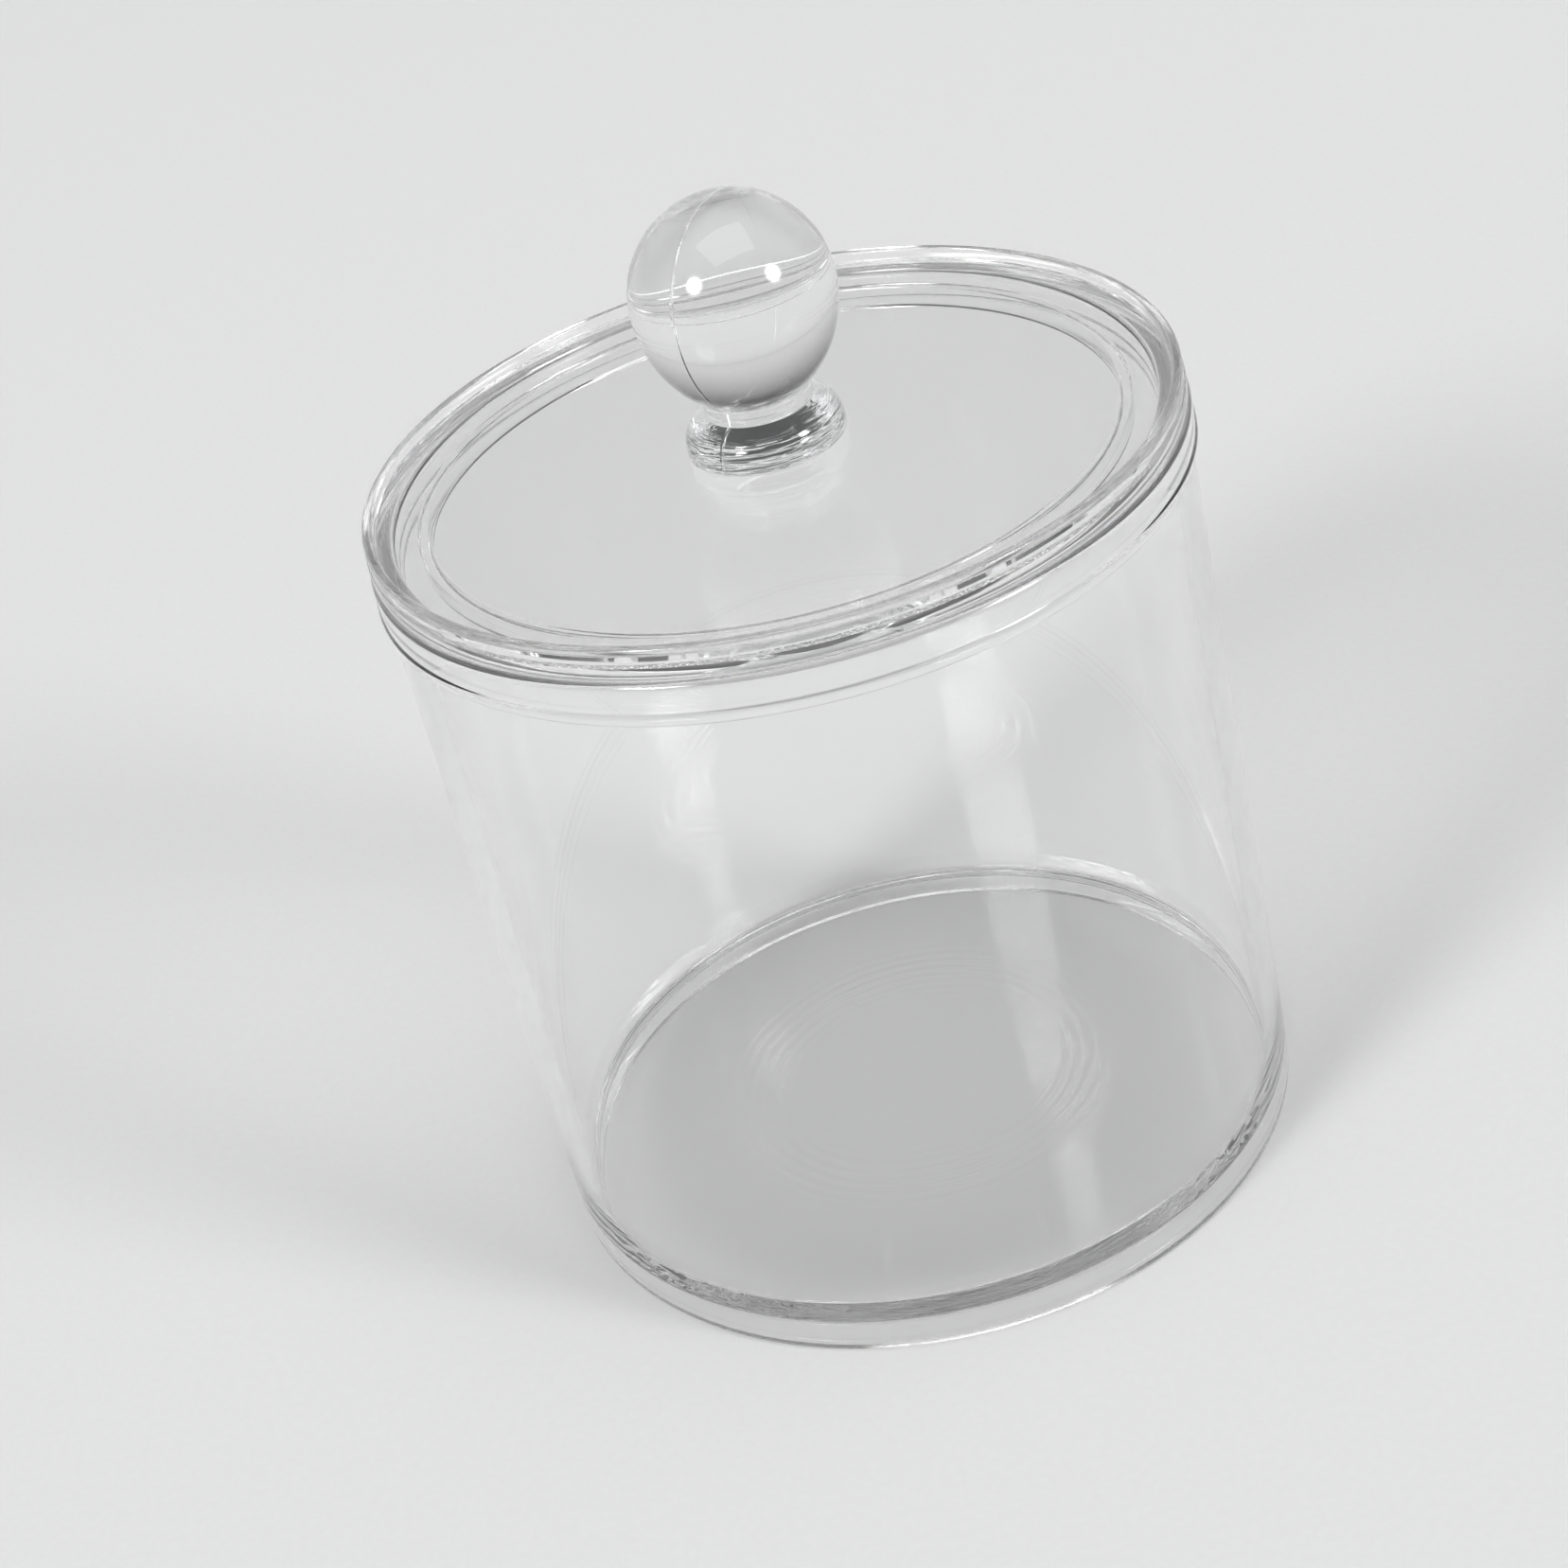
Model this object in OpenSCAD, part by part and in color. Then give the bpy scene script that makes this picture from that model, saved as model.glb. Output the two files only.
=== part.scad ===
// Round jar of clear plastic for cotton pads, with a loose lid that has a ball for a knob.
// Millimetres, +Z up. The origin is the middle of the face that the jar stands on.

/* [Jar] */
// Height from the face it stands on to the top of the lip
jar_h = 99.5; // [80:0.5:140]
// Outside diameter of the lip
lip_d = 100.8; // [80:0.2:130]
// Height of the lip's top above the middle of its bead
lip_h = 4.45; // [3:0.05:8]
// How far the lip stands out from the wall under it
lip_step = 0.65; // [0.3:0.05:1]
// Radius of the lip's outer top edge
lip_round = 0.9; // [0.4:0.1:1.4]
// Radius of the round bead along the lip's lower edge
bead_r = 1.4; // [1.2:0.1:1.8]
// How far the bead stands out from the lip
bead_out = 0.2; // [0.1:0.05:0.4]
// Radius of the edge round the mouth
mouth_round = 0.8; // [0.4:0.1:1.2]
// Thickness of the wall under the lip
wall_t = 3.0; // [2.2:0.1:4]
// How much smaller the outside is at the foot than at the lip, on the radius
wall_draft = 0.45; // [0.2:0.05:1.5]
// How much smaller the inside is at the floor than at the mouth, on the radius
bore_draft = 0.2; // [0.1:0.05:0.6]
// Height of the inside floor above the face the jar stands on
floor_rise = 6.4; // [5:0.2:10]
// Thickness of the floor
floor_t = 2.9; // [1.6:0.1:4]
// Radius of the fillet between the floor and the wall
floor_fillet = 0.8; // [0.4:0.1:2]
// Width of the ring that the jar stands on
foot_w = 2.6; // [2:0.1:5]
// Radius of the two edges of that ring
foot_round = 0.8; // [0.3:0.1:1.2]
// Radius of the fillet under the floor
recess_fillet = 0.6; // [0.3:0.1:1.5]

/* [Lid] */
// Thickness of the disc
disc_t = 2.8; // [1.8:0.1:4]
// How far the lid's edge stays back from the edge of the lip
lid_inset = 0.25; // [0.05:0.05:1]
// Radius of the lower edge
under_round = 0.6; // [0.3:0.1:1]
// Height of the mould line above the underside
seam_h = 2.2; // [1.2:0.1:2.8]
// Depth of the step at the mould line
seam_step = 0.15; // [0.1:0.05:0.4]
// Width of the rim round the top
rim_w = 1.2; // [1:0.1:4]
// Height of the rim above the disc
rim_h = 1.5; // [1:0.1:4]
// Radius of the rim's two top edges
rim_round = 0.35; // [0.2:0.05:0.45]
// Radius of the fillet between the disc and the rim
well_fillet = 0.4; // [0.2:0.1:0.8]
// Gap all round between the locating ring and the mouth of the jar
ring_gap = 3; // [0.3:0.1:5]
// Thickness of the locating ring
ring_t = 1.35; // [0.9:0.05:2.5]
// How far the locating ring reaches down from the disc
ring_h = 2.8; // [1.5:0.1:6]
// Radius of the locating ring's two lower edges
ring_round = 0.3; // [0.1:0.05:0.4]

/* [Knob] */
// Diameter of the ball
ball_d = 24.8; // [18:0.2:32]
// Height over which the lower half of the ball draws in to the neck
ball_drop = 12.1; // [8:0.1:16]
// Diameter of the neck
neck_d = 13.5; // [10:0.1:16]
// Height of the neck between the foot and the ball
neck_h = 2; // [1:0.1:6]
// Diameter of the foot
foot_d = 19.6; // [17:0.2:26]
// Height of the foot
foot_h = 5.1; // [3.5:0.1:8]
// Height above the disc at which the foot is widest
foot_rise = 1.2; // [0.8:0.1:2]
// Radius of the foot's lower edge
foot_edge = 0.5; // [0.2:0.1:0.8]

/* [Hidden] */
$fn = 180;

clear_jar = [0.9, 0.94, 0.96, 0.45];
clear_lid = [0.84, 0.91, 0.95, 0.6];
clear_knob = [0.95, 0.97, 1, 0.8];

lip_r = lip_d / 2;
bead_z = jar_h - lip_h;
bead_x = lip_r + bead_out - bead_r;
wall_r = lip_r - lip_step;
base_r = wall_r - wall_draft;
mouth_r = wall_r - wall_t;
floor_r = mouth_r - bore_draft;
recess_r = base_r - foot_w;
recess_z = floor_rise - floor_t;

// The lid rests on the lip, so its underside is level with the lip's top
disc_z = jar_h + disc_t;
rim_z = disc_z + rim_h;
seam_z = jar_h + seam_h;
lid_r = lip_r - lid_inset;
rim_r = lid_r - seam_step;
well_r = rim_r - rim_w;
ring_z = jar_h - ring_h;
ring_r = mouth_r - ring_gap;
ring_bore_r = ring_r - ring_t;

ball_r = ball_d / 2;
neck_r = neck_d / 2;
knob_foot_r = foot_d / 2;
ball_z = disc_z + foot_h + neck_h + ball_drop;

// What lies between a square corner at x, z and the arc that rounds it, in the
// quarter that turn points to: 0 is outwards and up, 90 is inwards and up
module spandrel(x, z, r, turn) {
    translate([x, z]) rotate(turn) difference() {
        square(r);
        translate([r, r]) circle(r);
    }
}

// Half section of the jar, with its edges rounded off, its inner corners filled, and the
// bead covering the step from the wall to the lip
module jar_section() {
    difference() {
        polygon([
            [0, recess_z],
            [recess_r, recess_z],
            [recess_r, 0],
            [base_r, 0],
            [base_r, foot_round],
            [wall_r, bead_z],
            [lip_r, bead_z],
            [lip_r, jar_h],
            [mouth_r, jar_h],
            [mouth_r, jar_h - mouth_round],
            [floor_r, floor_rise + floor_fillet],
            [floor_r, floor_rise],
            [0, floor_rise]
        ]);
        spandrel(recess_r, 0, foot_round, 0);
        spandrel(base_r, 0, foot_round, 90);
        spandrel(lip_r, jar_h, lip_round, 180);
        spandrel(mouth_r, jar_h, mouth_round, 270);
    }
    intersection() {
        translate([bead_x, bead_z]) circle(bead_r);
        translate([wall_r - wall_t / 2, 0]) square([wall_t, jar_h]);
    }
    spandrel(recess_r, recess_z, recess_fillet, 180);
    spandrel(floor_r, floor_rise, floor_fillet, 90);
}

// One moulding: a ring to stand on, a raised floor, a wall and a thicker lip with a bead
module jar() {
    color(clear_jar) rotate_extrude() jar_section();
}

// Half section of the lid
module lid_section() {
    difference() {
        polygon([
            [0, jar_h],
            [ring_bore_r, jar_h],
            [ring_bore_r, ring_z],
            [ring_r, ring_z],
            [ring_r, jar_h],
            [lid_r, jar_h],
            [lid_r, seam_z],
            [rim_r, seam_z],
            [rim_r, rim_z],
            [well_r, rim_z],
            [well_r, disc_z],
            [0, disc_z]
        ]);
        spandrel(ring_bore_r, ring_z, ring_round, 0);
        spandrel(ring_r, ring_z, ring_round, 90);
        spandrel(lid_r, jar_h, under_round, 90);
        spandrel(rim_r, rim_z, rim_round, 180);
        spandrel(well_r, rim_z, rim_round, 270);
    }
    spandrel(well_r, disc_z, well_fillet, 90);
}

// One moulding: a disc with a rim round its top and a locating ring under it
module lid() {
    color(clear_lid) rotate_extrude() lid_section();
}

// Half section of a swelling on the neck. It is widest, at radius r, at height z, and
// draws in over a height of h, which is negative downwards, by no more than that height.
module swelling(z, r, h) {
    draw = min(r - neck_r, abs(h));
    arc_r = (pow(draw, 2) + pow(h, 2)) / (2 * draw);
    intersection() {
        translate([r - arc_r, z]) circle(arc_r);
        translate([0, min(z, z + h)]) square([r, abs(h)]);
    }
}

// Half section of the knob: the foot, the ball's two halves and the neck through them
module knob_section() {
    difference() {
        translate([0, disc_z]) square([knob_foot_r, foot_rise]);
        spandrel(knob_foot_r, disc_z, foot_edge, 90);
    }
    swelling(disc_z + foot_rise, knob_foot_r, foot_h - foot_rise);
    swelling(ball_z, ball_r, -ball_drop);
    intersection() {
        translate([0, ball_z]) circle(ball_r);
        translate([0, ball_z]) square(ball_r);
    }
    translate([0, disc_z]) square([neck_r, ball_z - disc_z]);
}

// One solid moulding, bonded to the middle of the disc by its flat foot
module knob() {
    color(clear_knob) rotate_extrude() knob_section();
}

jar();
lid();
knob();
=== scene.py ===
import math

import bpy
from mathutils import Matrix


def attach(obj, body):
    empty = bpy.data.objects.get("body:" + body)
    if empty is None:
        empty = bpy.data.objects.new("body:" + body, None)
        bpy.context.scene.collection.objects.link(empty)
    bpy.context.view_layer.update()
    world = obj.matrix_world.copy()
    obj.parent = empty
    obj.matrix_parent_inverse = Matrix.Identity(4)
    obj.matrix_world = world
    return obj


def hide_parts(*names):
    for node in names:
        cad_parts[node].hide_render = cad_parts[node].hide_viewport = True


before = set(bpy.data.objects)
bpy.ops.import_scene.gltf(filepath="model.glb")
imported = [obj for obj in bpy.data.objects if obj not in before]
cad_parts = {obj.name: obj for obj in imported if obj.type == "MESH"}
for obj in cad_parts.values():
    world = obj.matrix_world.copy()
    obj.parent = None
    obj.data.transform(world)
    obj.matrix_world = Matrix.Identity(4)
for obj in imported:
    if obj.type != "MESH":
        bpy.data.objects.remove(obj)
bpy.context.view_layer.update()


# Camera. It looks down on the lid from straight in front and rolls to one side, so that
# the jar leans to the left in the picture.
MM = 0.001
SENSOR = 36
PICTURE_SIDE = 1657
FOCAL_PIXELS = 3297
CAMERA_AT = (-8.46, -339.66, 264.3)
LOOKS_DOWN = 31.69
ROLL = -14.42
NEAREST_SEEN = 0.01

camera = bpy.data.objects.new("camera", bpy.data.cameras.new("camera"))
camera.data.sensor_width = SENSOR
camera.data.lens = SENSOR * FOCAL_PIXELS / PICTURE_SIDE
camera.data.clip_start = NEAREST_SEEN
camera.matrix_world = (
    Matrix.Translation([v * MM for v in CAMERA_AT])
    @ Matrix.Rotation(math.radians(90 - LOOKS_DOWN), 4, "X")
    @ Matrix.Rotation(math.radians(ROLL), 4, "Z")
)
bpy.context.collection.objects.link(camera)
bpy.context.scene.camera = camera


# Jar. One injection moulding in clear, colourless plastic: a ring to stand on, a raised
# floor, a wall that draws in a little to the foot, and a thicker lip with a round bead
# along its lower edge. Its floor still has the faint turning rings of the mould.
LIP_R = 50.4
LIP_STEP = 0.65
LIP_H = 4.45
LIP_ROUND = 0.9
BEAD_R = 1.4
BEAD_OUT = 0.2
MOUTH_ROUND = 0.8
JAR_H = 99.5
WALL_T = 3.0
WALL_DRAFT = 0.45
BORE_DRAFT = 0.2
FLOOR_RISE = 6.4
FLOOR_T = 2.9
FLOOR_FILLET = 0.8
FOOT_W = 2.6
FOOT_ROUND = 0.8
RECESS_FILLET = 0.6
RINGS_OUTER_R = 29.75
RINGS_PITCH = 1.75
RINGS_COUNT = 8
RINGS_DEPTH = 0.05
# Air between two mouldings that rest on each other
AIR_FILM = 0.04
# Points closer than this count as one point
SAME_PLACE = 1e-6


def arc(x, z, r, start, end, steps=8):
    """Points on an arc round x, z."""
    turns = [math.radians(start + (end - start) * i / steps) for i in range(steps + 1)]
    return [(x + r * math.cos(a), z + r * math.sin(a)) for a in turns]


def run(start, end, longest):
    """Points between two ends, without the ends, no further apart than longest."""
    count = math.ceil(math.dist(start, end) / longest)
    return [
        tuple(a + (b - a) * i / count for a, b in zip(start, end))
        for i in range(1, count)
    ]


def joined(stretches, longest):
    """One line through all the stretches, with points along every straight run in it."""
    line = [stretches[0][0]]
    for stretch in stretches:
        for point in stretch:
            if math.dist(line[-1], point) > SAME_PLACE:
                line += run(line[-1], point, longest) + [point]
    return line


def floor_rings(points_each=8):
    """Points across the floor's turning rings, inwards. The middle rings are deepest."""
    steps = RINGS_COUNT * points_each
    line = []
    for i in range(steps + 1):
        wave = (1 - math.cos(math.tau * i / points_each)) / 2
        depth = RINGS_DEPTH * wave * math.sin(math.pi * i / steps)
        line.append((RINGS_OUTER_R - RINGS_PITCH * i / points_each, FLOOR_RISE - depth))
    return line


def jar_section():
    top = JAR_H - AIR_FILM
    wall_r = LIP_R - LIP_STEP
    base_r = wall_r - WALL_DRAFT
    mouth_r = wall_r - WALL_T
    floor_r = mouth_r - BORE_DRAFT
    fillet_z = FLOOR_RISE + FLOOR_FILLET
    recess_r = base_r - FOOT_W
    recess_z = FLOOR_RISE - FLOOR_T
    bead_x = LIP_R + BEAD_OUT - BEAD_R
    bead_z = JAR_H - LIP_H
    bead_low = -math.degrees(math.acos((wall_r - bead_x) / BEAD_R))
    bead_top = math.degrees(math.acos((LIP_R - bead_x) / BEAD_R))
    return joined(
        [
            [(0, recess_z)],
            arc(recess_r - RECESS_FILLET, recess_z - RECESS_FILLET, RECESS_FILLET, 90, 0),
            arc(recess_r + FOOT_ROUND, FOOT_ROUND, FOOT_ROUND, 180, 270),
            arc(base_r - FOOT_ROUND, FOOT_ROUND, FOOT_ROUND, 270, 360),
            arc(bead_x, bead_z, BEAD_R, bead_low, 0),
            arc(bead_x, bead_z, BEAD_R, 0, bead_top, steps=6),
            arc(LIP_R - LIP_ROUND, top - LIP_ROUND, LIP_ROUND, 0, 90),
            arc(mouth_r + MOUTH_ROUND, top - MOUTH_ROUND, MOUTH_ROUND, 90, 180),
            arc(floor_r - FLOOR_FILLET, fillet_z, FLOOR_FILLET, 360, 270),
            floor_rings(),
            [(0, FLOOR_RISE)],
        ],
        longest=4,
    )


def add(tree, kind, links=(), **settings):
    """A new node with its settings, and what its inputs take: sockets or plain values."""
    made = tree.nodes.new(kind)
    for name, value in settings.items():
        setattr(made, name, value)
    for name, source in dict(links).items():
        if isinstance(source, bpy.types.NodeSocket):
            tree.links.new(source, made.inputs[name])
        else:
            made.inputs[name].default_value = source
    return made


def maths(tree, operation, *sources):
    """The result of one Math node."""
    return add(tree, "ShaderNodeMath", enumerate(sources), operation=operation).outputs[0]


def product(tree, *sources):
    """All the sources multiplied together."""
    result = sources[0]
    for source in sources[1:]:
        result = maths(tree, "MULTIPLY", result, source)
    return result


def vectors(tree, operation, *sources):
    """The outputs of one Vector Math node."""
    return add(
        tree, "ShaderNodeVectorMath", enumerate(sources), operation=operation
    ).outputs


def ramp(tree, value, start, end, results=(0, 1), curve="SMOOTHSTEP"):
    """Goes from the first result to the second while value goes from start to end."""
    inputs = {
        "Value": value,
        "From Min": start,
        "From Max": end,
        "To Min": results[0],
        "To Max": results[1],
    }
    return add(tree, "ShaderNodeMapRange", inputs, interpolation_type=curve).outputs[0]


def coordinates(tree, place):
    """The X, Y and Z of a place, by name."""
    return add(tree, "ShaderNodeSeparateXYZ", {0: place}).outputs


def from_axis(tree, place):
    """The level part of a place as a vector, and its length, which is the radius."""
    level = vectors(tree, "MULTIPLY", place, (1, 1, 0))[0]
    return level, vectors(tree, "LENGTH", level)["Value"]


def whole(tree, operation, *sources):
    """The result of one Integer Math node."""
    return add(
        tree, "FunctionNodeIntegerMath", enumerate(sources), operation=operation
    ).outputs[0]


def lathe(tree, given):
    """The half section turned once round the Z axis, closed at its seam and its poles."""
    section, steps = given["Half section"], given["Steps round"]
    rows = add(
        tree, "GeometryNodeAttributeDomainSize", {"Geometry": section}, component="MESH"
    ).outputs["Point Count"]
    grid = add(
        tree,
        "GeometryNodeMeshGrid",
        {"Vertices X": whole(tree, "ADD", steps, 1), "Vertices Y": rows},
    )
    index = tree.nodes.new("GeometryNodeInputIndex").outputs[0]
    point = add(
        tree,
        "GeometryNodeSampleIndex",
        {
            "Geometry": section,
            "Value": tree.nodes.new("GeometryNodeInputPosition").outputs[0],
            "Index": whole(tree, "MODULO", index, rows),
        },
        data_type="FLOAT_VECTOR",
    ).outputs[0]
    point = coordinates(tree, point)
    share = maths(tree, "DIVIDE", whole(tree, "DIVIDE_FLOOR", index, rows), steps)
    angle = product(tree, share, math.tau)
    # The steps start at the mould line, and gather there and across from it
    closer = maths(tree, "SINE", product(tree, angle, 2))
    angle = maths(tree, "SUBTRACT", angle, product(tree, closer, given["Gathering"]))
    angle = maths(tree, "ADD", angle, given["Mould line angle"])
    turned_place = add(
        tree,
        "ShaderNodeCombineXYZ",
        {
            "X": product(tree, point["X"], maths(tree, "COSINE", angle)),
            "Y": product(tree, point["X"], maths(tree, "SINE", angle)),
            "Z": point["Z"],
        },
    ).outputs[0]
    shape = add(
        tree,
        "GeometryNodeSetPosition",
        {"Geometry": grid.outputs["Mesh"], "Position": turned_place},
    ).outputs[0]
    return add(
        tree, "GeometryNodeMergeByDistance", {"Geometry": shape, "Distance": SAME_PLACE}
    ).outputs[0]


def moved(tree, shape, direction, distance):
    """The shape with every point moved along its own direction."""
    offset = add(
        tree,
        "ShaderNodeVectorMath",
        {0: direction, "Scale": distance},
        operation="SCALE",
    ).outputs[0]
    return add(
        tree, "GeometryNodeSetPosition", {"Geometry": shape, "Offset": offset}
    ).outputs[0]


def unevenness(tree, place, given):
    """The wall is never quite round: how far each point is drawn in, by a slow noise."""
    lumps = add(
        tree,
        "ShaderNodeTexNoise",
        {
            "Vector": place,
            "W": given["Seed"],
            "Scale": maths(tree, "DIVIDE", 1, given["Unevenness length"]),
            "Detail": 1,
        },
        noise_dimensions="4D",
    ).outputs[0]
    return product(tree, maths(tree, "SUBTRACT", lumps, 1), given["Unevenness"])


def sinking(tree, place, given):
    """How far all but the mould line sinks, so that the line is left as a low ridge. The
    face that a piece is bonded by stays where it is."""
    at = coordinates(tree, place)
    line_angle = given["Mould line angle"]
    across = maths(
        tree,
        "SUBTRACT",
        product(tree, at["X"], maths(tree, "SINE", line_angle)),
        product(tree, at["Y"], maths(tree, "COSINE", line_angle)),
    )
    off_line = ramp(tree, maths(tree, "ABSOLUTE", across), 0, given["Mould line width"])
    above = maths(tree, "SUBTRACT", at["Z"], given["Bonded height"])
    above = maths(tree, "MINIMUM", maths(tree, "DIVIDE", above, MM), 1)
    return product(tree, off_line, above, -1, given["Mould line height"])


def turning_tree():
    """Turns a half section, a line of points on the XZ plane, once round the Z axis."""
    tree = bpy.data.node_groups.new("Turned moulding", "GeometryNodeTree")
    for name, kind in (
        ("Half section", "NodeSocketGeometry"),
        ("Steps round", "NodeSocketInt"),
        ("Unevenness", "NodeSocketFloat"),
        ("Unevenness length", "NodeSocketFloat"),
        ("Seed", "NodeSocketFloat"),
        ("Mould line angle", "NodeSocketFloat"),
        ("Mould line height", "NodeSocketFloat"),
        ("Mould line width", "NodeSocketFloat"),
        ("Gathering", "NodeSocketFloat"),
        ("Material", "NodeSocketMaterial"),
        ("Bonded height", "NodeSocketFloat"),
        ("Bonded radius", "NodeSocketFloat"),
        ("Bond", "NodeSocketMaterial"),
    ):
        tree.interface.new_socket(name, in_out="INPUT", socket_type=kind)
    tree.interface.new_socket(
        "Moulding", in_out="OUTPUT", socket_type="NodeSocketGeometry"
    )
    given = tree.nodes.new("NodeGroupInput").outputs

    shape = lathe(tree, given)
    place = tree.nodes.new("GeometryNodeInputPosition").outputs[0]
    level, radius = from_axis(tree, place)
    outwards = vectors(tree, "NORMALIZE", level)[0]
    shape = moved(tree, shape, outwards, unevenness(tree, place, given))
    facing = tree.nodes.new("GeometryNodeInputNormal").outputs[0]
    shape = moved(tree, shape, facing, sinking(tree, place, given))
    shape = add(tree, "GeometryNodeRealizeInstances", {"Geometry": shape}).outputs[0]
    plastic = {"Geometry": shape, "Material": given["Material"]}
    shape = add(tree, "GeometryNodeSetMaterial", plastic).outputs[0]

    # The face by which a piece is bonded to another
    height = coordinates(tree, place)["Z"]
    at_bond = maths(tree, "COMPARE", height, given["Bonded height"], SAME_PLACE)
    inside = maths(tree, "LESS_THAN", radius, given["Bonded radius"])
    bond = {
        "Geometry": shape,
        "Selection": product(tree, at_bond, inside),
        "Material": given["Bond"],
    }
    shape = add(tree, "GeometryNodeSetMaterial", bond).outputs[0]
    add(tree, "NodeGroupOutput", {"Moulding": shape})
    return tree


TURNING = turning_tree()
SHARP_EDGE = math.radians(12)


def turned(name, section, steps_round, **inputs):
    """A piece turned from its half section, as a plain mesh with nothing left open."""
    line = bpy.data.meshes.new(name)
    line.from_pydata(
        [(x * MM, 0, z * MM) for x, z in section],
        [(i, i + 1) for i in range(len(section) - 1)],
        [],
    )
    blank = bpy.data.objects.new(name + "_section", line)
    bpy.context.collection.objects.link(blank)
    modifier = blank.modifiers.new("Turned moulding", "NODES")
    modifier.node_group = TURNING
    sockets = {
        item.name: item.identifier
        for item in TURNING.interface.items_tree
        if item.in_out == "INPUT"
    }
    modifier[sockets["Steps round"]] = steps_round
    for key, value in inputs.items():
        modifier[sockets[key.replace("_", " ").capitalize()]] = value
    seen = blank.evaluated_get(bpy.context.evaluated_depsgraph_get())
    mesh = bpy.data.meshes.new_from_object(seen)
    blank.modifiers.remove(modifier)
    bpy.data.objects.remove(blank)
    mesh.name = name
    mesh.shade_smooth()
    mesh.set_sharp_from_angle(angle=SHARP_EDGE)
    piece = bpy.data.objects.new(name, mesh)
    bpy.context.collection.objects.link(piece)
    return piece


def noise(tree, place, scale, detail, **inputs):
    """An even noise between 0 and 1. scale is the number of its lumps in a metre."""
    inputs |= {"Vector": place, "Scale": scale, "Detail": detail}
    return add(tree, "ShaderNodeTexNoise", inputs).outputs[0]


WAVE_ROUGHNESS = 0.35
HAZE_LUMPS = 60
HAZE_CONTRAST = 3
# Cells of dust in a metre, each with one speck at most, and a speck's share of its cell
DUST_CELLS = 160
DUST_RADIUS = 0.012
DUST_ROUGHNESS = 0.5
DUST_HEIGHT = 0.00004


def surface_group():
    """What any moulded surface shows: slow waves from the flow, haze and some dust."""
    group = bpy.data.node_groups.new("Moulded surface", "ShaderNodeTree")
    for name, kind in (
        ("Place", "NodeSocketVector"),
        ("Wave length", "NodeSocketFloat"),
        ("Wave height", "NodeSocketFloat"),
        ("Polish", "NodeSocketFloat"),
        ("Haze", "NodeSocketFloat"),
        ("Specks", "NodeSocketFloat"),
    ):
        group.interface.new_socket(name, in_out="INPUT", socket_type=kind)
    for name in ("Height", "Roughness"):
        group.interface.new_socket(name, in_out="OUTPUT", socket_type="NodeSocketFloat")
    given = group.nodes.new("NodeGroupInput").outputs
    place = given["Place"]
    waves_in_a_metre = maths(group, "DIVIDE", 1, given["Wave length"])
    wave = noise(group, place, waves_in_a_metre, detail=2, Roughness=WAVE_ROUGHNESS)
    haze = noise(group, place, HAZE_LUMPS, detail=4)
    haze = maths(group, "POWER", haze, HAZE_CONTRAST)
    cell = add(group, "ShaderNodeTexVoronoi", {"Vector": place, "Scale": DUST_CELLS})
    draw = add(group, "ShaderNodeSeparateColor", {0: cell.outputs["Color"]}).outputs[0]
    dusty = maths(group, "LESS_THAN", draw, given["Specks"])
    dot = maths(group, "LESS_THAN", cell.outputs["Distance"], DUST_RADIUS)
    dust = product(group, dusty, dot)
    rough = maths(group, "ADD", given["Polish"], product(group, haze, given["Haze"]))
    rough = maths(group, "ADD", rough, product(group, dust, DUST_ROUGHNESS))
    height = product(group, wave, given["Wave height"])
    height = maths(group, "ADD", height, product(group, dust, DUST_HEIGHT))
    add(group, "NodeGroupOutput", {"Height": height, "Roughness": rough})
    return group


SURFACE = surface_group()
PLASTIC_IOR = 1.49
PLASTIC_TINT = (0.993, 0.994, 0.994, 1)
SHADOW_FACE = (0.98, 0.98, 0.98, 1)
SHADOW_EDGE = (0.4, 0.4, 0.4, 1)
SHADOW_EDGE_BLEND = 0.2


def clear_plastic(name, marks, **surface):
    """Clear plastic. marks adds the heights, in metres, of what only this piece shows."""
    material = bpy.data.materials.new(name)
    material.use_nodes = True
    tree = material.node_tree
    tree.nodes.clear()
    place = tree.nodes.new("ShaderNodeTexCoord").outputs["Object"]
    shared = tree.nodes.new("ShaderNodeGroup")
    shared.node_tree = SURFACE
    tree.links.new(place, shared.inputs["Place"])
    for key, value in surface.items():
        shared.inputs[key.replace("_", " ").capitalize()].default_value = value
    height = marks(tree, place, shared.outputs["Height"])
    bump = add(
        tree, "ShaderNodeBump", {"Height": height, "Distance": 1.0, "Strength": 1.0}
    )
    plastic = add(
        tree,
        "ShaderNodeBsdfPrincipled",
        {
            "Base Color": PLASTIC_TINT,
            "Roughness": shared.outputs["Roughness"],
            "Transmission Weight": 1.0,
            "IOR": PLASTIC_IOR,
            "Normal": bump.outputs[0],
        },
    )
    # Lamps reach what is behind the plastic, a little dimmed and more so along the edges
    path = tree.nodes.new("ShaderNodeLightPath").outputs
    passes = maths(tree, "MAXIMUM", path["Is Shadow Ray"], path["Is Diffuse Ray"])
    slant = add(tree, "ShaderNodeLayerWeight", {"Blend": SHADOW_EDGE_BLEND})
    dimming = add(
        tree,
        "ShaderNodeMix",
        {"Factor": slant.outputs["Facing"], "A": SHADOW_FACE, "B": SHADOW_EDGE},
        data_type="RGBA",
    ).outputs["Result"]
    see_through = add(tree, "ShaderNodeBsdfTransparent", {"Color": dimming})
    mix = add(
        tree,
        "ShaderNodeMixShader",
        {0: passes, 1: plastic.outputs[0], 2: see_through.outputs[0]},
    )
    add(tree, "ShaderNodeOutputMaterial", {"Surface": mix.outputs[0]})
    return material


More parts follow.
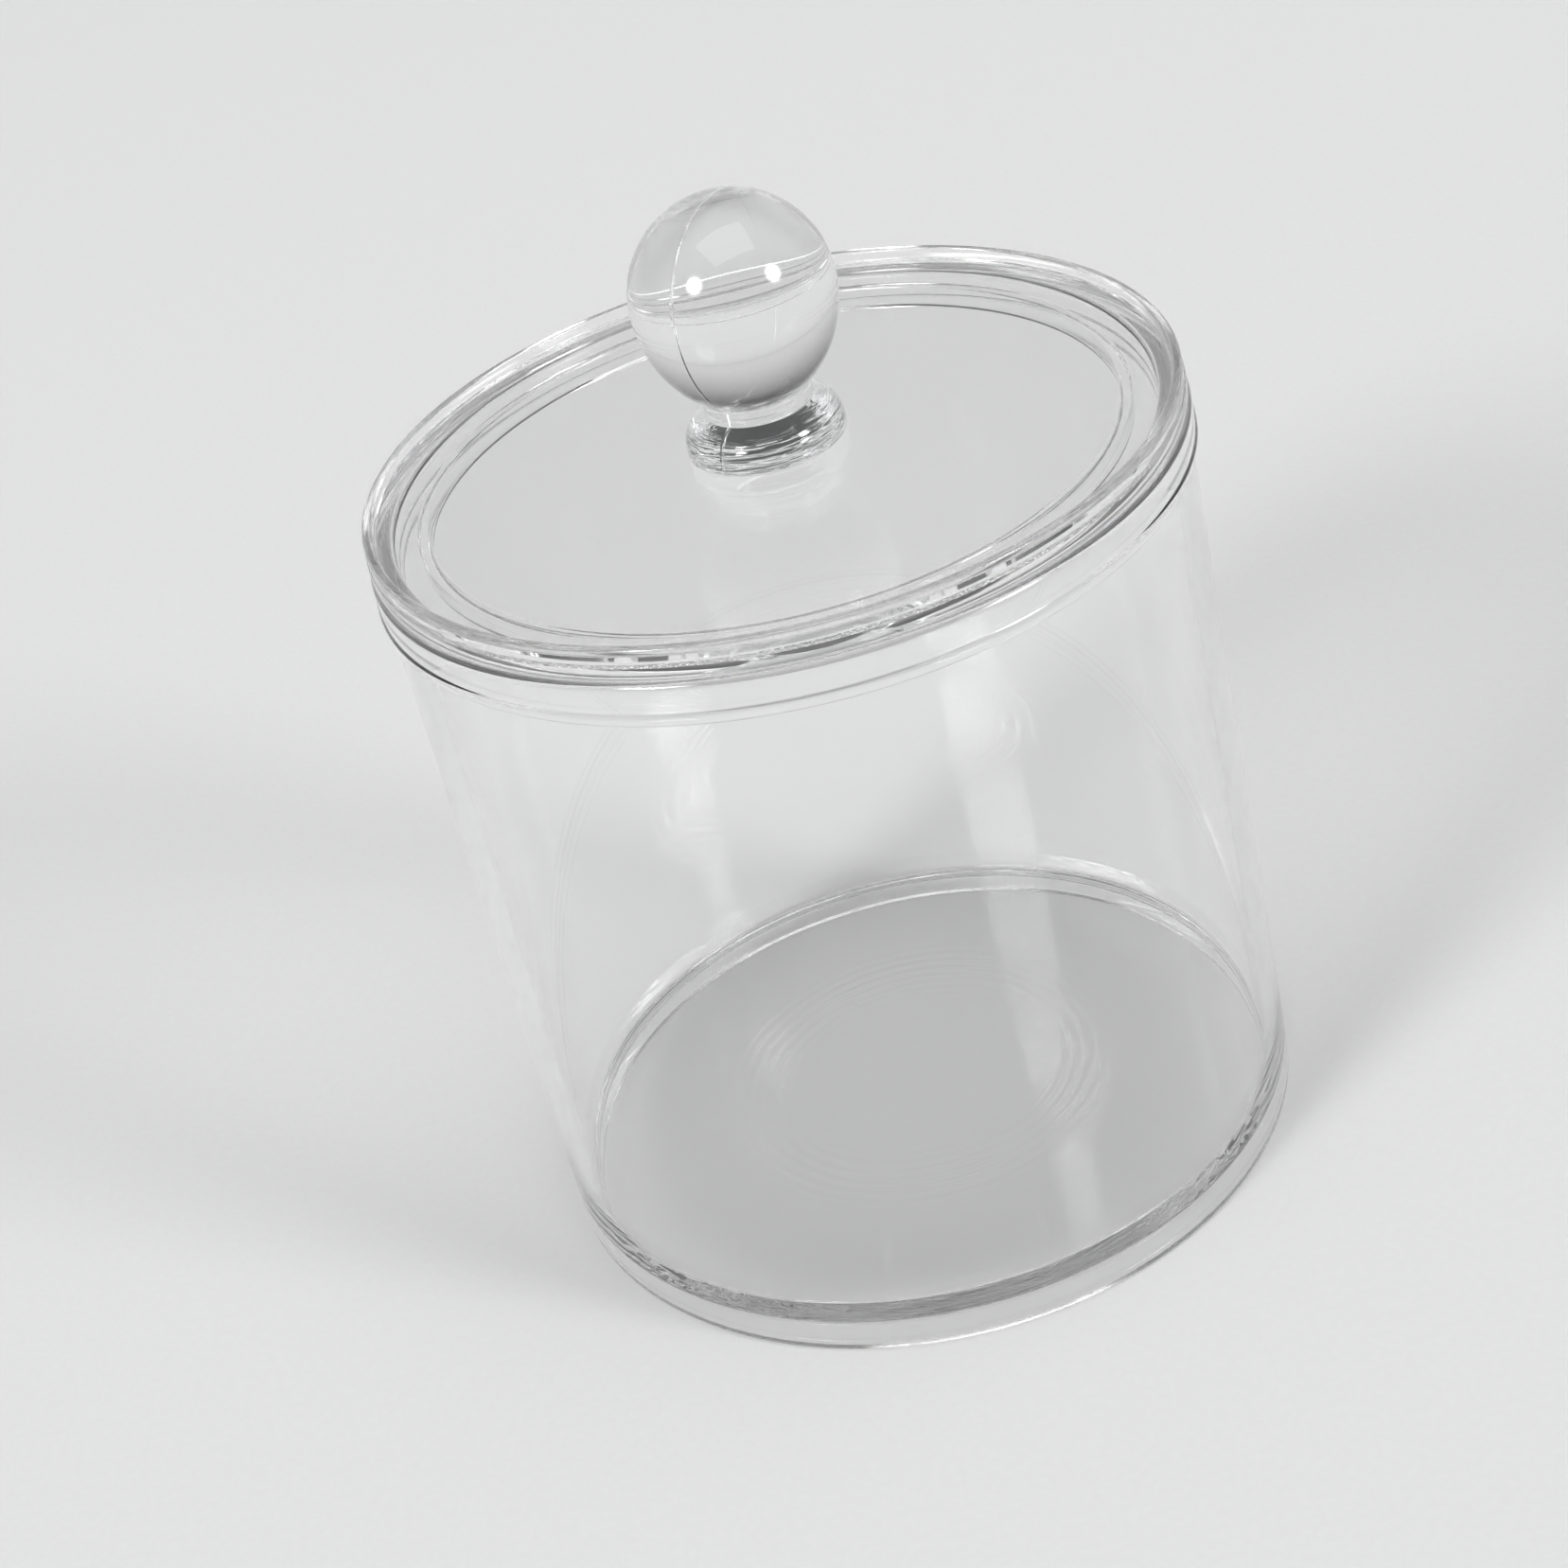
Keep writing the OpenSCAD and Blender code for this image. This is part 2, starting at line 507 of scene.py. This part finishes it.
def strength(tree, off_line, reach, curve="SMOOTHSTEP"):
    """How strong a mark is that far off its line. Its reach is how far off the line, in
    millimetres, it begins and how far off it is at its full height."""
    off_line = maths(tree, "ABSOLUTE", off_line)
    return ramp(tree, off_line, *(r * MM for r in reach), curve=curve)


RINGS_MIDDLE_R = RINGS_OUTER_R - RINGS_PITCH * RINGS_COUNT / 2
WEAR_BELOW = 8
WEAR_REACH = (7, 1)
WEAR_LUMPS = 120
WEAR_HEIGHT = 0.00004


def jar_marks(tree, place, height):
    """The rings on the floor are a little worn, so they are stronger here and there."""
    radius = from_axis(tree, place)[1]
    rings = maths(tree, "COSINE", product(tree, radius, math.tau / (RINGS_PITCH * MM)))
    off_middle = maths(tree, "SUBTRACT", radius, RINGS_MIDDLE_R * MM)
    near = strength(tree, off_middle, WEAR_REACH)
    low = maths(tree, "LESS_THAN", coordinates(tree, place)["Z"], WEAR_BELOW * MM)
    worn = noise(tree, place, WEAR_LUMPS, detail=2)
    wear = product(tree, rings, near, low, worn, WEAR_HEIGHT)
    return maths(tree, "ADD", height, wear)


JAR_PLASTIC = clear_plastic(
    "jar clear plastic",
    jar_marks,
    wave_length=0.03,
    wave_height=0.000012,
    polish=0.0,
    haze=0.03,
    specks=0.02,
)
jar = turned(
    "jar_moulding",
    jar_section(),
    steps_round=256,
    unevenness=0.00003,
    unevenness_length=0.06,
    seed=3.0,
    material=JAR_PLASTIC,
)
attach(jar, "jar")
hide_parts("jar")


# Lid. One injection moulding in the same plastic: a flat disc with a low rim round its
# top and a thin ring under it that drops into the mouth. The mould closes along its edge,
# and leaves a fine broken line there.
DISC_T = 2.8
LID_INSET = 0.25
UNDER_ROUND = 0.6
SEAM_H = 2.2
SEAM_STEP = 0.15
SEAM_EASE = 0.1
RIM_W = 1.2
RIM_H = 1.5
RIM_ROUND = 0.35
WELL_FILLET = 0.4
RING_GAP = 3.0
RING_T = 1.35
RING_H = 2.8
RING_ROUND = 0.3
DISC_Z = JAR_H + DISC_T
SEAM_Z = JAR_H + SEAM_H
# The knob's foot is cemented to the disc out to where its rounded lower edge begins
FOOT_R = 9.8
FOOT_EDGE = 0.5
BOND_R = FOOT_R - FOOT_EDGE


def lid_section():
    lid_r = LIP_R - LID_INSET
    rim_r = lid_r - SEAM_STEP
    well_r = rim_r - RIM_W
    rim_z = DISC_Z + RIM_H
    ring_r = LIP_R - LIP_STEP - WALL_T - RING_GAP
    bore_r = ring_r - RING_T
    ring_z = JAR_H - RING_H
    return joined(
        [
            [(0, JAR_H), (bore_r, JAR_H)],
            arc(bore_r + RING_ROUND, ring_z + RING_ROUND, RING_ROUND, 180, 270),
            arc(ring_r - RING_ROUND, ring_z + RING_ROUND, RING_ROUND, 270, 360),
            [(ring_r, JAR_H)],
            arc(lid_r - UNDER_ROUND, JAR_H + UNDER_ROUND, UNDER_ROUND, 270, 360),
            arc(lid_r - SEAM_EASE, SEAM_Z - SEAM_EASE, SEAM_EASE, 0, 90, steps=4),
            [(rim_r, SEAM_Z)],
            arc(rim_r - RIM_ROUND, rim_z - RIM_ROUND, RIM_ROUND, 0, 90),
            arc(well_r + RIM_ROUND, rim_z - RIM_ROUND, RIM_ROUND, 90, 180),
            arc(well_r - WELL_FILLET, DISC_Z + WELL_FILLET, WELL_FILLET, 360, 270),
            [(BOND_R, DISC_Z), (0, DISC_Z)],
        ],
        longest=4,
    )


BURR_REACH = (0.22, 0.05)
BURR_LUMPS = 2200
BURR_CONTRAST = 3
BURR_HEIGHT = 0.00015


def lid_marks(tree, place, height):
    """Burrs in a broken line round the edge, where the two halves of the mould met."""
    off_seam = maths(tree, "SUBTRACT", coordinates(tree, place)["Z"], SEAM_Z * MM)
    near = strength(tree, off_seam, BURR_REACH, "LINEAR")
    burr = noise(tree, place, BURR_LUMPS, detail=2)
    burr = maths(tree, "POWER", burr, BURR_CONTRAST)
    return maths(tree, "ADD", height, product(tree, burr, near, BURR_HEIGHT))


MOTTLE_LUMPS = 300
CEMENT_TINTS = ((0.96, 0.97, 0.97, 1), (1, 1, 1, 1))


def bond_film():
    """Clear cement between two faces, as dense as the plastic, so neither face shows."""
    material = bpy.data.materials.new("clear bond")
    material.use_nodes = True
    tree = material.node_tree
    tree.nodes.clear()
    place = tree.nodes.new("ShaderNodeTexCoord").outputs["Object"]
    mottle = noise(tree, place, MOTTLE_LUMPS, detail=3)
    tint = add(
        tree,
        "ShaderNodeMix",
        {"Factor": mottle, "A": CEMENT_TINTS[0], "B": CEMENT_TINTS[1]},
        data_type="RGBA",
    ).outputs["Result"]
    film = add(tree, "ShaderNodeBsdfTransparent", {"Color": tint})
    add(tree, "ShaderNodeOutputMaterial", {"Surface": film.outputs[0]})
    return material


BOND = bond_film()
LID_PLASTIC = clear_plastic(
    "lid clear plastic",
    lid_marks,
    wave_length=0.02,
    wave_height=0.000005,
    polish=0.0,
    haze=0.03,
    specks=0.03,
)
lid = turned(
    "lid_moulding",
    lid_section(),
    steps_round=256,
    unevenness=0.00003,
    unevenness_length=0.04,
    seed=7.0,
    material=LID_PLASTIC,
    bonded_height=DISC_Z * MM,
    bonded_radius=BOND_R * MM,
    bond=BOND,
)
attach(lid, "lid")
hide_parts("lid")


# Knob. A solid moulding in the same plastic, with a ball on a short neck and a round
# foot, bonded to the middle of the lid. Its mould opened sideways, so a fine raised line
# runs over the ball and down both sides.
BALL_R = 12.4
BALL_DROP = 12.1
NECK_R = 6.75
NECK_H = 2.0
FOOT_H = 5.1
FOOT_RISE = 1.2
NECK_TOP_Z = DISC_Z + FOOT_H + NECK_H
BALL_Z = NECK_TOP_Z + BALL_DROP
LINE_ANGLE = math.radians(51)


def swelling(z, r, h, steps):
    """Arc from the widest point of a swelling, at z, to the neck, h above or below it."""
    draw = r - NECK_R
    arc_r = (draw**2 + h**2) / (2 * draw)
    turn = math.degrees(math.asin(h / arc_r))
    return arc(r - arc_r, z, arc_r, 0, turn, steps)


def knob_section():
    return joined(
        [
            [(0, DISC_Z), (BOND_R, DISC_Z)],
            arc(BOND_R, DISC_Z + FOOT_EDGE, FOOT_EDGE, 270, 360),
            swelling(DISC_Z + FOOT_RISE, FOOT_R, FOOT_H - FOOT_RISE, steps=14),
            swelling(BALL_Z, BALL_R, -BALL_DROP, steps=24)[::-1],
            arc(0, BALL_Z, BALL_R, 0, 90, steps=32),
        ],
        longest=1,
    )


CREST_REACH = (0.28, 0.02)
CREST_HEIGHT = 0.00018
# Measured up from the top of the neck. Flow lines are far longer than they are high.
FLOW_REACH = (4, -2)
FLOW_STRETCH = (0.07, 0.07, 1)
FLOW_LUMPS = 1300
FLOW_HEIGHT = 0.00028


def knob_marks(tree, place, height):
    """The crest of the mould line, and flow lines round the neck and the foot."""
    line_side = (math.sin(LINE_ANGLE), -math.cos(LINE_ANGLE), 0)
    off_line = vectors(tree, "DOT_PRODUCT", place, line_side)["Value"]
    crest = product(tree, strength(tree, off_line, CREST_REACH), CREST_HEIGHT)
    level = coordinates(tree, place)["Z"]
    low = ramp(tree, level, *((NECK_TOP_Z + r) * MM for r in FLOW_REACH))
    stretched = vectors(tree, "MULTIPLY", place, FLOW_STRETCH)[0]
    flow = noise(tree, stretched, FLOW_LUMPS, detail=2)
    height = maths(tree, "ADD", height, crest)
    return maths(tree, "ADD", height, product(tree, flow, low, FLOW_HEIGHT))


KNOB_PLASTIC = clear_plastic(
    "knob clear plastic",
    knob_marks,
    wave_length=0.008,
    wave_height=0.000001,
    polish=0.0,
    haze=0.03,
    specks=0.03,
)
knob = turned(
    "knob_moulding",
    knob_section(),
    steps_round=160,
    unevenness=0.00003,
    unevenness_length=0.012,
    seed=11.0,
    mould_line_angle=LINE_ANGLE,
    mould_line_height=0.00003,
    mould_line_width=0.0003,
    gathering=0.4,
    material=KNOB_PLASTIC,
    bonded_height=DISC_Z * MM,
    bonded_radius=BOND_R * MM,
    bond=BOND,
)
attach(knob, "lid")
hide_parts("knob")


# Floor. A plain sheet of pale paper with a fine grain, which lies just under the jar and
# runs on past the edges of every view.
FLOOR_HALF = 6.0
FLOOR_DROP = 0.00005
PAPER_TINTS = ((0.72, 0.722, 0.724, 1), (0.76, 0.762, 0.764, 1))
PAPER_LUMPS = 900
PAPER_ROUGHNESS = 0.8
PAPER_SHINE = 0.2

floor_mesh = bpy.data.meshes.new("studio_floor")
floor_mesh.from_pydata(
    [
        (x * FLOOR_HALF, y * FLOOR_HALF, -FLOOR_DROP)
        for x, y in ((-1, -1), (1, -1), (1, 1), (-1, 1))
    ],
    [],
    [(0, 1, 2, 3)],
)
floor = bpy.data.objects.new("studio_floor", floor_mesh)
bpy.context.collection.objects.link(floor)
paper = bpy.data.materials.new("pale floor paper")
paper.use_nodes = True
tree = paper.node_tree
place = tree.nodes.new("ShaderNodeTexCoord").outputs["Object"]
grain = noise(tree, place, PAPER_LUMPS, detail=2)
shade = add(
    tree,
    "ShaderNodeMix",
    {"Factor": grain, "A": PAPER_TINTS[0], "B": PAPER_TINTS[1]},
    data_type="RGBA",
).outputs["Result"]
bsdf = tree.nodes["Principled BSDF"]
tree.links.new(shade, bsdf.inputs["Base Color"])
bsdf.inputs["Roughness"].default_value = PAPER_ROUGHNESS
bsdf.inputs["Specular IOR Level"].default_value = PAPER_SHINE
floor_mesh.materials.append(paper)


# Backdrop. Pale at the height of the eye and darker towards the ceiling, as the camera,
# reflections and clear plastic show it. The floor is lit evenly from all round instead.
BACKDROP_PALE = 0.62
BACKDROP_DARK = 0.1
BACKDROP_FADE = (0.03, 0.55)
EVEN_LIGHT = 0.12

world = bpy.data.worlds.new("studio")
world.use_nodes = True
tree = world.node_tree
tree.nodes.clear()
direction = tree.nodes.new("ShaderNodeTexCoord").outputs["Generated"]
up = coordinates(tree, direction)["Z"]
backdrop = ramp(tree, up, *BACKDROP_FADE, (BACKDROP_PALE, BACKDROP_DARK), "LINEAR")
path = tree.nodes.new("ShaderNodeLightPath").outputs
shown = maths(tree, "MAXIMUM", path["Is Glossy Ray"], path["Is Transmission Ray"])
shown = maths(tree, "MAXIMUM", shown, path["Is Camera Ray"])
glow = add(
    tree,
    "ShaderNodeMix",
    {"Factor": shown, "A": EVEN_LIGHT, "B": backdrop},
    data_type="FLOAT",
).outputs["Result"]
background = add(tree, "ShaderNodeBackground", {"Color": glow})
add(tree, "ShaderNodeOutputWorld", {"Surface": background.outputs[0]})
bpy.context.scene.world = world


# Lamps. A wide soft box overhead, and two big round ones far off in front, to left and
# right, that are bright in the middle and fade out towards the edge.
DISC_EDGE = 0.5
DISC_FULL = 0.15
DISC_FADE = 2


def fade_to_edge(data):
    """Makes a disc lamp fade out. Places on it run from 0 to 1 across its width."""
    data.use_nodes = True
    tree = data.node_tree
    tree.nodes.clear()
    across = tree.nodes.new("ShaderNodeNewGeometry").outputs["Parametric"]
    off_middle = vectors(tree, "SUBTRACT", across, (DISC_EDGE, DISC_EDGE, 0))[0]
    radius = from_axis(tree, off_middle)[1]
    fade = maths(tree, "POWER", ramp(tree, radius, DISC_EDGE, DISC_FULL), DISC_FADE)
    emission = add(tree, "ShaderNodeEmission", {"Strength": fade})
    add(tree, "ShaderNodeOutputLight", {"Surface": emission.outputs[0]})


def lamp(name, direction, distance, sides, radiance):
    """A lamp that faces the ball from that azimuth and elevation: a box where it has two
    sides, and a disc where it has one width."""
    data = bpy.data.lights.new(name, "AREA")
    disc = len(sides) == 1
    data.shape = "DISK" if disc else "RECTANGLE"
    data.size = sides[0]
    data.size_y = sides[-1]
    area = sides[0] * sides[-1] * (math.pi / 4 if disc else 1)
    data.energy = radiance * area * math.pi
    if disc:
        fade_to_edge(data)
    azimuth, elevation = (math.radians(a) for a in direction)
    away = (
        math.cos(elevation) * math.sin(azimuth),
        -math.cos(elevation) * math.cos(azimuth),
        math.sin(elevation),
    )
    ball = (0, 0, BALL_Z * MM)
    made = bpy.data.objects.new(name, data)
    made.matrix_world = (
        Matrix.Translation([b + a * distance for b, a in zip(ball, away)])
        @ Matrix.Rotation(azimuth, 4, "Z")
        @ Matrix.Rotation(math.pi / 2 - elevation, 4, "X")
    )
    made.visible_camera = False
    bpy.context.collection.objects.link(made)


lamp("overhead_soft_box", (20, 78), distance=8, sides=(7.0, 5.4), radiance=1.8)
lamp("left_lamp", (-49, 33), distance=60, sides=(27.6,), radiance=40)
lamp("right_lamp", (53, 24), distance=60, sides=(27.6,), radiance=40)


# Picture. Colours as they are written, and as many bounces as light makes inside a rim of
# clear plastic, which goes black where they run out.
scene = bpy.context.scene
scene.view_settings.view_transform = "Standard"
scene.cycles.max_bounces = 48
scene.cycles.transmission_bounces = 40
scene.cycles.glossy_bounces = 40
scene.cycles.transparent_max_bounces = 32
